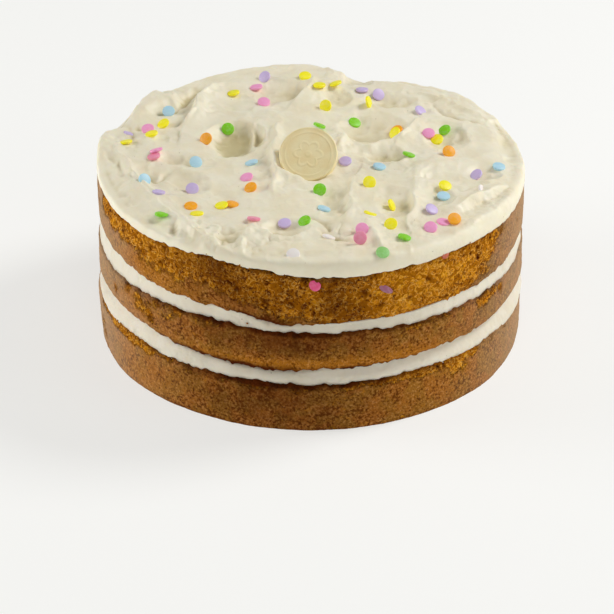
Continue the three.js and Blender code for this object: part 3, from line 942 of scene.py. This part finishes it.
def scoop_height(x, y, scoop):
    """The height that one scoop takes away or pushes up at each place, all in millimetres."""
    (mid_x, mid_y), length, width, turn, depth, lip, lip_way = scoop
    turn = math.radians(turn)
    along = (x - mid_x) * math.cos(turn) + (y - mid_y) * math.sin(turn)
    across = (y - mid_y) * math.cos(turn) - (x - mid_x) * math.sin(turn)
    reach = np.hypot(along / length, across / width)
    on_lip = 0.5 + 0.5 * np.cos(np.arctan2(y - mid_y, x - mid_x) - math.radians(lip_way))
    steep = np.clip(1 - reach ** 3, 0, 1)
    gentle = np.clip(1 - reach ** 2, 0, 1) ** 1.6
    crisp = on_lip * min(lip, 1)
    bowl = -depth * (steep * crisp + gentle * (1 - crisp))
    off_edge = (reach - 1) * width
    fall = np.where(off_edge > 0, off_edge / min(5, 0.32 * width), -off_edge / min(1.8, 0.25 * width))
    return bowl + lip * on_lip ** 2 * np.exp(-fall ** 1.5)


def near_mark(x, y, points, margin):
    """Which places lie within a margin of the box round some points."""
    low = np.min(points, axis=0) - margin
    high = np.max(points, axis=0) + margin
    return (x > low[0]) & (x < high[0]) & (y > low[1]) & (y < high[1])


def icing_height(x, y):
    """The height of the icing's top at places in metres, before its fine relief."""
    height = np.zeros(len(x))
    flat = np.column_stack([x, y, np.zeros(len(x))])
    across = x / MM + 1.6 * noise(flat, 11 * MM, 3.0) + 0.7 * noise(flat, 4 * MM, 13.0)
    along = y / MM + 1.6 * noise(flat, 11 * MM, 23.0) + 0.7 * noise(flat, 4 * MM, 33.0)
    for stroke in STROKES + (DOLLOP,):
        near = near_mark(across, along, stroke[:3], 3 * max(stroke[4:6]))
        height[near] += stroke_height(across[near], along[near], stroke)
    for scoop in SCOOPS:
        near = near_mark(across, along, scoop[:1], scoop[1] + 15)
        height[near] += scoop_height(across[near], along[near], scoop)
    shoulder = 1.0 * MM * eased(np.hypot(x, y), RADIUS - 16 * MM, RADIUS - 4 * MM) ** 2
    height = ICING_LEVEL + height * MM - shoulder
    off_x = x - DISC_CENTRE.x
    off_y = y - DISC_CENTRE.y
    pressed = DISC_CENTRE.z - (DISC_NORMAL.x * off_x + DISC_NORMAL.y * off_y) / DISC_NORMAL.z
    on_disc = np.sqrt(off_x ** 2 + off_y ** 2 + (pressed - DISC_CENTRE.z) ** 2)
    way = np.degrees(np.arctan2(off_y, off_x))
    lapped = sum(share * np.exp(-((way - place) / wide) ** 2) for place, wide, share in LAPS)
    grip = 1 - eased(on_disc + LAP_ON_DISC * MM * lapped, DISC_RADIUS, DISC_RADIUS + 4 * MM)
    return height + (np.minimum(height, pressed) - height) * grip


def rough_icing(x, y):
    """The icing's top with its fine relief: small folds, curds and burst bubbles."""
    flat = np.column_stack([x, y, np.zeros(len(x))])
    folds = layered_noise(flat, 15 * MM, 2.0)
    torn = 1 - np.abs(layered_noise(flat, 8 * MM, 8.0, 3))
    clots = np.abs(layered_noise(flat, 5.4 * MM, 5.0, 2)) ** 0.8
    curdled = 0.1
    for (spot_x, spot_y), reach, amount in CURDLED:
        away = np.hypot(x / MM - spot_x, y / MM - spot_y)
        curdled = curdled + amount * np.exp(-(away / reach) ** 3)
    fine = 0.45 * folds + 0.55 * torn ** 3 + 2.0 * curdled * (clots - 0.3)
    fine -= 0.3 * pits(flat, 3.2 * MM, 0.1 + 0.2 * curdled, 3.0)
    height = icing_height(x, y) + MM * fine
    spare = (height - seam("top_sponge", np.arctan2(y, x), np.hypot(x, y) / RADIUS)) / MM - THINNEST_ICING
    slight = (spare - CLAMP_REACH) ** 2 / (4 * CLAMP_REACH)
    lifted = np.where(spare > -CLAMP_REACH, slight, -spare)
    return height + MM * np.where(spare < CLAMP_REACH, lifted, 0)


# The icing's rolled side, from the edge of its top down to the sponge: (share of its thickness, inset in mm).
ROLLED_SIDE = ((0.985, 2.6), (0.95, 1.7), (0.89, 1.0), (0.8, 0.5), (0.68, 0.2), (0.54, 0.0), (0.4, 0.0),
               (0.27, 0.0), (0.15, 0.1), (0.06, 0.2), (0.0, 0.7), (0.0, 4.0))
TOP_INSET = 4.0
SIDE_BULGE = (168, 9, 1.9)       # degrees from +X, degrees wide, mm that the icing stands out there
RAGGED_EDGE = (-118, 24, 1.1)    # degrees from +X, degrees wide, extra raggedness of the lower edge there


def icing_surface(x, y):
    """The height that a piece of confetti rests on, down over the rolled edge."""
    top = rough_icing(x, y)
    floor = seam("top_sponge", np.arctan2(y, x), 1.0)
    shares = [0.0, *(share for share, _ in ROLLED_SIDE[4::-1]), 1.0]
    insets = [-0.5, *(inset for _, inset in ROLLED_SIDE[4::-1]), TOP_INSET]
    return floor + (top - floor) * np.interp((RADIUS - np.hypot(x, y)) / MM + 0.9, insets, shares)


class CAKE_OT_icing(bpy.types.Operator):
    """Spreads and swirls the icing on top"""
    bl_idname = "cake.icing"
    bl_label = "Icing"

    def execute(self, context):
        bpy.ops.object.select_all(action="DESELECT")
        bpy.ops.mesh.primitive_grid_add(x_subdivisions=ICING_CELLS, y_subdivisions=ICING_CELLS, size=2)
        obj = named(bpy.context.active_object, "icing_swirled")
        bpy.ops.object.mode_set(mode="EDIT")
        bpy.ops.mesh.select_all(action="SELECT")
        bpy.ops.mesh.region_to_loop()
        for _ in ROLLED_SIDE:
            bpy.ops.mesh.extrude_edges_move(TRANSFORM_OT_translate={"value": (0, 0, -1)})
        bpy.ops.mesh.edge_face_add()
        bpy.ops.object.mode_set(mode="OBJECT")

        co = points_of(obj)
        u, v = co[:, 0], co[:, 1]
        station = np.rint(-co[:, 2]).astype(int)
        unit_x = u * np.sqrt(1 - v ** 2 / 2)
        unit_y = v * np.sqrt(1 - u ** 2 / 2)
        angle = np.arctan2(unit_y, unit_x)
        ring = np.column_stack([np.cos(angle), np.sin(angle), np.zeros(len(co))])
        shares = np.array([1.0, *(share for share, _ in ROLLED_SIDE)])[station]
        insets = np.array([TOP_INSET, *(inset for _, inset in ROLLED_SIDE)])[station] * MM
        wobble = 0.5 * MM * layered_noise(ring * RADIUS, 30 * MM, 6.0)
        place, wide, out = SIDE_BULGE
        wobble += out * MM * np.exp(-(((np.degrees(angle) - place + 180) % 360 - 180) / wide) ** 2)
        place, wide, extra = RAGGED_EDGE
        ragged = 0.7 + extra * np.exp(-((np.degrees(angle) - place) / wide) ** 2)
        scallop = MM * (0.7 * layered_noise(ring * RADIUS, 11 * MM, 9.0)
                        + ragged * layered_noise(ring * RADIUS, 3.5 * MM, 2.0))
        reach = np.hypot(unit_x, unit_y)
        radius = reach * (RADIUS + 0.9 * MM + wobble - insets)
        x = radius * np.cos(angle)
        y = radius * np.sin(angle)
        floor = seam("top_sponge", angle, 1.0) + scallop - 0.1 * MM
        top = rough_icing(x, y)
        z = np.where(station == 0, top, floor + (top - floor) * shares)
        side = MM * 0.25 * layered_noise(np.column_stack([x, y, z * 2]), 6 * MM, 4.0) * (station > 1)
        move_points(obj, np.column_stack([x + side * np.cos(angle), y + side * np.sin(angle), z]))
        order = np.lexsort((u, v * (station == 0) + 2 * (station > 0)))[:(ICING_CELLS + 1) ** 2]
        heights = z[order].reshape(ICING_CELLS + 1, ICING_CELLS + 1)
        # Painted shade: darker where the icing lies below the blurred surface round it, and over the deepest
        # scoop.
        deep = 1.2 * (softened(heights, 2) - heights) + 0.5 * (softened(heights, 13) - heights)
        hollow = np.zeros(len(co))
        hollow[order] = (0.5 * np.maximum(deep / MM, 0).ravel()) ** 1.8
        (shade_x, shade_y), reach = DEEPEST_SHADE
        off = np.hypot((x / MM - shade_x) / reach[0], (y / MM - shade_y) / reach[1])
        hollow += 0.5 * eased(off, 1.0, 0.3) * (station == 0)
        paint(obj, "hollow", hollow)
        take(obj)
        bpy.ops.object.mode_set(mode="EDIT")
        bpy.ops.mesh.select_all(action="SELECT")
        bpy.ops.mesh.normals_make_consistent(inside=False)
        bpy.ops.object.mode_set(mode="OBJECT")
        smooth(obj)

        icing = tuple(context.scene.cake_colours.icing)
        shade = tuple(part * tint for part, tint in zip(icing, (0.94, 0.92, 0.86)))
        material = whipped_material("swirled_icing", icing, shade, (0.42, 0.33, 0.2), 0.04, 0.3 * MM)
        finish_piece(obj, material, "icing", "icing_top")
        return {"FINISHED"}


# ---------------------------------------------------------------- chocolate disc

class CAKE_OT_disc(bpy.types.Operator):
    """Moulds the chocolate disc with its raised rim and plain flower"""
    bl_idname = "cake.disc"
    bl_label = "Chocolate disc"

    def execute(self, context):
        half = DISC_THICKNESS / 2
        rim = DISC_RADIUS - 0.9 * MM
        stations = [(DISC_RADIUS - 2 * MM, -half), (DISC_RADIUS - 0.5 * MM, -half),
                    (DISC_RADIUS - 0.15 * MM, -half + 0.15 * MM), (DISC_RADIUS, -half + 0.5 * MM),
                    (DISC_RADIUS, half - 0.2 * MM), (DISC_RADIUS - 0.12 * MM, half + 0.06 * MM),
                    (DISC_RADIUS - 0.4 * MM, half + 0.2 * MM), (rim + 0.2 * MM, half + 0.18 * MM),
                    (rim, half + 0.08 * MM), (rim - 0.3 * MM, half)]
        inner = rim - 0.3 * MM
        rings = 40
        stations += [(inner * (1 - ring / rings), half) for ring in range(1, rings)]
        obj = turned("chocolate_disc_moulded", stations, 192)
        co = points_of(obj)
        radius = np.hypot(co[:, 0], co[:, 1]) / DISC_RADIUS
        angle = np.arctan2(co[:, 1], co[:, 0])
        face = (co[:, 2] > half - 0.01 * MM) & (radius < inner / DISC_RADIUS)
        petals = 0.36 + 0.16 * np.abs(np.cos(3 * angle))
        flower = eased(radius, petals + 0.03, petals - 0.03) - eased(radius, petals - 0.05, petals - 0.11)
        heart = eased(radius, 0.13, 0.08)
        hoop = eased(np.abs(radius - 0.8), 0.03, 0.01)
        co[:, 2] += face * 0.2 * MM * np.maximum.reduce([flower, heart, hoop])
        co[:, 2] += 0.12 * MM * layered_noise(co, 9 * MM, 4.0) * (co[:, 2] > 0)
        place = Matrix.Translation(DISC_CENTRE) @ DISC_TURNED.to_4x4()
        co = co @ np.array(place.to_3x3()).T + np.array(DISC_CENTRE)
        move_points(obj, co)
        smooth(obj)
        finish_piece(obj, chocolate_material(tuple(context.scene.cake_colours.chocolate)),
                     "white_chocolate", "chocolate_disc")
        return {"FINISHED"}


# ---------------------------------------------------------------- confetti

# Each piece: its place in millimetres from the middle of the cake, where the camera's line of sight
# to it meets the icing's level, its tilt from lying flat, the way that it faces
# (degrees, 0 towards -Y and 90 towards +X), and how far it is sunk in mm, where that is unusual.
CONFETTI = {
    "lilac": ((-23, 84, 45, -40), (33, 65, 50, 30), (25, 70, 10, 180), (53, 47, 35, 70, 1.2),
              (16, -6, 15, -20), (77, -19, 35, -60), (-55, -33, 35, 0), (-70, -37, 16, 150, 1.3),
              (55, -53, 30, 60), (-12, -66, 15, -20), (-87, 23, 24, 130, 2.0)),
    "yellow": ((-3, 85, 15, 0), (4, 74, 5, 180, 0.9), (12, 76, 20, -120), (-38, 66, 12, -120),
               (7, 52, 60, -25), (28, 56, 70, 75), (-71, 33, 30, -60), (-76, 22, 12, -100),
               (-88, 14, 18, -150, 1.0), (40, 24, 45, -60, -0.9), (60, 17, 25, -30), (27, -27, 48, 10),
               (62, -30, 22, 40), (37, -49, 62, 80), (27, -57, 20, 130, 1.6), (36, -67, 35, -25),
               (-41, -49, 10, -90, 0.2), (-52, -57, 14, -170, 0.8)),
    "orange": ((-50, 17, 48, -30), (41, 27, 25, -60, 0.2), (65, 4, 40, 20), (-28, -32, 30, -50),
               (-55, -50, 8, 0), (-36, -48, 14, 110, 0.9), (65, -62, 30, 10, -0.4)),
    "pink": ((-27, 73, 10, -120), (-23, 56, 20, 10), (-78, 27, 20, -20), (-73, 5, 24, -140, 0.9),
             (56, 23, 20, 0), (-30, -22, 20, -60), (54, -70, 30, 0), (60, -65, 10, 90, 1.0),
             (23, -72, 50, 10)),
    "rose": ((-74, -1, 12, -90), (-26, -62, 20, 160, 0.6), (22, -80, 62, 5, -0.2)),
    "green": ((-40, 28, 52, 0), (4, 31, 25, 130, -0.6), (21, 35, 25, 40), (64, 27, 30, -60),
              (46, 1, 22, 130), (4, -34, 42, -10), (-3, -64, 30, -60), (42, -79, 18, 120),
              (-68, -58, 14, 160, 1.9)),
    "leaf": ((32, -93, 24, 20, 0.7),),
    "blue": ((-69, 46, 32, 0), (-54, -7, 40, 20), (-28, -7, 18, -120), (32, -11, 10, 90), (88, -11, 12, 60),
             (-77, -25, 50, 40, 1.9), (61, -40, 12, 40, 0.4), (6, -52, 20, 120)),
    "white": ((8, -79, 25, 130, 0.9), (-8, -95, 34, -6, 1.2), (79, -35, 60, 80, 3.2)),
}
# Pieces baked into the side of a sponge: the layer, degrees from +X, height in the layer from 0 to 1,
# lean in degrees, how much of it the crumb leaves bare across and along (share of its width), and
# the slant of that patch in degrees.
BAKED_CONFETTI = {
    "baked_pink": (("sponge_top", -89.0, 0.75, 82, 0.85, 0.95, 25),
                   ("sponge_top", 62, 0.4, 75, 0.8, 0.7, 25)),
    "baked_plum": (("sponge_top", -70.5, 0.56, 68, 1.15, 0.5, -32),
                   ("sponge_bottom", 140, 0.6, 75, 0.8, 0.6, 25),
                   ("sponge_middle", 35, 0.5, 70, 0.9, 0.7, 25)),
    "baked_rose": (("sponge_top", -53, 0.9, 70, 0.7, 0.5, 25),
                   ("sponge_bottom", -95, 0.3, 74, 0.9, 0.5, 10),
                   ("sponge_top", 118, 0.65, 75, 0.8, 0.6, 25)),
}
BAKED_COLOURS = {"baked_pink": (226, 76, 128), "baked_plum": (160, 96, 118), "baked_rose": (190, 90, 60)}
CAMERA_HEIGHT = math.radians(30.5)
SIGHT_SLOPE = 1 / math.tan(CAMERA_HEIGHT)
USUAL_SINK = 0.5         # mm that a piece of confetti is sunk in the icing
TILTED_SINK = 0.008      # mm more for each degree of its tilt
CONFETTI_SIDES = 20
SETTLING_ROUNDS = 10


def confetti_piece(width, thickness):
    """One round of pressed sugar with soft edges."""
    bpy.ops.object.select_all(action="DESELECT")
    bpy.ops.mesh.primitive_cylinder_add(vertices=CONFETTI_SIDES, radius=width / 2, depth=thickness,
                                        end_fill_type="TRIFAN")
    obj = bpy.context.active_object
    bpy.ops.object.mode_set(mode="EDIT")
    bpy.ops.mesh.select_mode(type="EDGE")
    bpy.ops.mesh.select_all(action="DESELECT")
    bpy.ops.object.mode_set(mode="OBJECT")
    for edge in obj.data.edges:
        a, b = (obj.data.vertices[i].co for i in edge.vertices)
        edge.select = abs(a.z - b.z) < 1e-6 and min(a.xy.length, b.xy.length) > 0.4 * width
    bpy.ops.object.mode_set(mode="EDIT")
    bpy.ops.mesh.bevel(offset=0.28 * thickness, segments=2)
    bpy.ops.object.mode_set(mode="OBJECT")
    return obj


def copy_at(pattern, place):
    """A copy with its own mesh, moved there for good."""
    obj = pattern.copy()
    obj.data = pattern.data.copy()
    bpy.context.scene.collection.objects.link(obj)
    obj.data.transform(place)
    return obj


def facing(tilt, towards):
    """A turn that tilts a flat piece to face that way."""
    spin = Matrix.Rotation(math.radians(towards), 4, "Z")
    return spin @ Matrix.Rotation(math.radians(tilt), 4, "X")


def rest_on_icing(pieces, size, thickness):
    """How each piece lies: seen at its listed place, its lowest edge sunk a little into the icing."""
    around = np.radians(np.arange(0, 360, 45))
    edge = np.column_stack([np.cos(around), np.sin(around), 0 * around]) * 0.46 * size
    edge[:, 2] = -thickness / 2
    turns = [facing(tilt, towards) for _, _, tilt, towards, *_ in pieces]
    edges = np.array([edge @ np.array(turn.to_3x3()).T for turn in turns])
    x, y, tilt = np.array([piece[:3] for piece in pieces], float).T
    sunk = np.array([piece[4] if len(piece) > 4 else USUAL_SINK for piece in pieces]) * MM
    sunk = sunk + TILTED_SINK * MM * tilt
    x, y, true_y = x * MM, y * MM, y * MM
    for _ in range(SETTLING_ROUNDS):
        over = edges + np.column_stack([x, true_y, 0 * x])[:, None, :]
        under = icing_surface(over[..., 0].ravel(), over[..., 1].ravel()).reshape(len(pieces), -1)
        z = np.max(under - edges[..., 2], axis=1) - sunk
        true_y = 0.5 * true_y + 0.5 * (y - (z - ICING_LEVEL) * SIGHT_SLOPE)
    return [Matrix.Translation(place) @ turn for place, turn in zip(zip(x, true_y, z), turns)]


def baked_in(layer, degrees, share, lean, across, along, slant):
    """How a piece lies in the side of a sponge, narrowed to as much of it as the crumb leaves bare."""
    low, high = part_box(layer)
    around = math.radians(degrees)
    out = RADIUS + 0.4 * MM
    spot = Vector((out * math.cos(around), out * math.sin(around), low.z + (high.z - low.z) * share))
    bare = Matrix.Rotation(math.radians(slant), 4, "Z") @ Matrix.Diagonal((across, along, 1, 1))
    return Matrix.Translation(spot) @ facing(lean, degrees + 90) @ bare


def scatter(pattern, places, colour, shade, slot):
    """All the pieces of one kind of confetti, as one finished piece."""
    obj = joined("confetti_" + colour, [copy_at(pattern, place) for place in places])
    smooth(obj)
    finish_piece(obj, sugar_material("sugar_" + colour, shade), slot)


class CAKE_OT_confetti(bpy.types.Operator):
    """Scatters the confetti on the icing and in the sponge"""
    bl_idname = "cake.confetti"
    bl_label = "Confetti"

    def execute(self, context):
        sizes = context.scene.cake_sizes
        pattern = confetti_piece(sizes.confetti_width, sizes.confetti_thickness)
        for colour, pieces in CONFETTI.items():
            places = rest_on_icing(pieces, sizes.confetti_width, sizes.confetti_thickness)
            scatter(pattern, places, colour, tuple(getattr(context.scene.cake_colours, colour)), "icing")
        for colour, pieces in BAKED_CONFETTI.items():
            places = [baked_in(*piece) for piece in pieces]
            scatter(pattern, places, colour, daylight(*BAKED_COLOURS[colour]), "sponge")
        bpy.data.objects.remove(pattern)
        return {"FINISHED"}


# ---------------------------------------------------------------- crumbs

# The ledges that crumbs lie on: the seam, and how far in from the side in millimetres.
CRUMB_LEDGES = (("bottom_sponge", 0.3), ("middle_sponge", 0.6), ("upper_filling", 1.4),
                ("lower_filling", 2.6), ("top_sponge", -0.7), ("top_sponge", -0.7))


class CAKE_OT_crumbs(bpy.types.Operator):
    """Strews a few crumbs along the cream and the edge of the icing"""
    bl_idname = "cake.crumbs"
    bl_label = "Crumbs"

    def execute(self, context):
        sizes = context.scene.cake_sizes
        rng = np.random.default_rng(5)
        bpy.ops.object.select_all(action="DESELECT")
        bpy.ops.mesh.primitive_ico_sphere_add(subdivisions=1, radius=sizes.crumb_width / 2)
        pattern = bpy.context.active_object
        copies = []
        for _ in range(sizes.crumb_count):
            name, inset = CRUMB_LEDGES[rng.integers(len(CRUMB_LEDGES))]
            around = rng.uniform(-math.pi, math.pi)
            if name == "top_sponge" and rng.random() < 0.6:
                around = math.radians(rng.normal(-110, 10))
            out = RADIUS - (inset + rng.uniform(0, 0.5)) * MM
            z = float(seam(name, np.array([around]), 1.0)[0]) + rng.normal(0, 0.9) * MM
            turn = Matrix.Rotation(rng.uniform(0, math.pi), 4, Vector(rng.normal(size=3)).normalized())
            stretch = Matrix.Diagonal((*rng.uniform(0.5, 1.4, 3), 1))
            place = Matrix.Translation((out * math.cos(around), out * math.sin(around), z))
            copies.append(copy_at(pattern, place @ turn @ stretch))
        obj = joined("crumbs", copies)
        smooth(obj)
        bpy.data.objects.remove(pattern)
        paint(obj, "open", np.full(len(obj.data.vertices), 0.7))
        finish_piece(obj, bpy.data.materials["baked_sponge"], "sponge")
        return {"FINISHED"}


# ---------------------------------------------------------------- stage

CAMERA_DISTANCE = 1.5
CAMERA_LENS = 180.8
AIM_RIGHT = -1.95 * MM
AIM_UP = 5.1 * MM
FLOOR_GLOW = 1.58
LIT_SPOT = (0, 0, 0.05)
# The softboxes, in metres: name, place and width.
SOFTBOXES = (("key", (1.1, 0.4, 1.15), 0.6), ("right", (1.27, -0.59, 0.35), 0.8),
             ("left", (-1.4, 0.1, 0.45), 0.9), ("front", (0.0, -1.0, 1.35), 0.8))


def softbox(name, place, size, watts):
    """A round soft light that faces the cake."""
    light = bpy.data.lights.new(name, "AREA")
    light.shape = "DISK"
    light.size = size
    light.energy = watts
    obj = bpy.data.objects.new(name, light)
    obj.location = place
    obj.rotation_euler = (Vector(LIT_SPOT) - Vector(place)).to_track_quat("-Z", "Y").to_euler()
    bpy.context.scene.collection.objects.link(obj)


class CAKE_OT_stage(bpy.types.Operator):
    """Sets the pale floor, the soft lights and the camera"""
    bl_idname = "cake.stage"
    bl_label = "Stage"

    def execute(self, context):
        scene = context.scene
        lights = scene.cake_lights
        bpy.ops.object.select_all(action="DESELECT")
        bpy.ops.mesh.primitive_plane_add(size=12, location=(0, 0, BASE))
        floor = named(bpy.context.active_object, "floor")
        bpy.ops.object.transform_apply(location=True)
        material, _, shader, _ = new_material("pale_floor")
        shader.inputs["Base Color"].default_value = (*lights.floor, 1)
        shader.inputs["Roughness"].default_value = 0.9
        shader.inputs["Emission Color"].default_value = (*lights.floor, 1)
        shader.inputs["Emission Strength"].default_value = FLOOR_GLOW
        floor.data.materials.append(material)

        for name, place, size in SOFTBOXES:
            softbox(name + "_softbox", place, size, getattr(lights, name))
        world = bpy.data.worlds.new("pale_room")
        world.use_nodes = True
        background = world.node_tree.nodes["Background"]
        background.inputs["Color"].default_value = (1, 1, 1, 1)
        background.inputs["Strength"].default_value = lights.room
        scene.world = world
        scene.view_settings.view_transform = "Standard"

        camera = bpy.data.cameras.new("camera")
        camera.lens = CAMERA_LENS
        camera.clip_start = 0.05
        obj = bpy.data.objects.new("camera", camera)
        back = Vector((0, -math.cos(CAMERA_HEIGHT), math.sin(CAMERA_HEIGHT)))
        up = Vector((0, math.sin(CAMERA_HEIGHT), math.cos(CAMERA_HEIGHT)))
        obj.location = back * CAMERA_DISTANCE
        aim = Vector((AIM_RIGHT, 0, 0)) + up * AIM_UP
        obj.rotation_euler = (aim - obj.location).to_track_quat("-Z", "Y").to_euler()
        scene.collection.objects.link(obj)
        scene.camera = obj
        return {"FINISHED"}


# ---------------------------------------------------------------- panel and registration

PIECE_OPERATORS = (CAKE_OT_sponges, CAKE_OT_fillings, CAKE_OT_icing, CAKE_OT_disc, CAKE_OT_confetti,
                   CAKE_OT_crumbs, CAKE_OT_stage)


class CAKE_PT_panel(bpy.types.Panel):
    """Lists the steps of the cake"""
    bl_idname = "CAKE_PT_panel"
    bl_label = "Confetti cake"
    bl_space_type = "VIEW_3D"
    bl_region_type = "UI"
    bl_category = "Cake"

    def draw(self, context):
        for operator in PIECE_OPERATORS:
            self.layout.operator(operator.bl_idname)


CLASSES = (CakeSizes, CakeColours, StageLights, *PIECE_OPERATORS, CAKE_PT_panel)


def register():
    for each in CLASSES:
        bpy.utils.register_class(each)
    bpy.types.Scene.cake_sizes = PointerProperty(type=CakeSizes)
    bpy.types.Scene.cake_colours = PointerProperty(type=CakeColours)
    bpy.types.Scene.cake_lights = PointerProperty(type=StageLights)


def unregister():
    del bpy.types.Scene.cake_lights
    del bpy.types.Scene.cake_colours
    del bpy.types.Scene.cake_sizes
    for each in reversed(CLASSES):
        bpy.utils.unregister_class(each)


def main():
    """Makes the whole cake and its stage."""
    register()
    bpy.ops.cake.sponges()
    bpy.ops.cake.fillings()
    bpy.ops.cake.icing()
    bpy.ops.cake.disc()
    bpy.ops.cake.confetti()
    bpy.ops.cake.crumbs()
    bpy.ops.cake.stage()


if __name__ == "__main__":
    main()
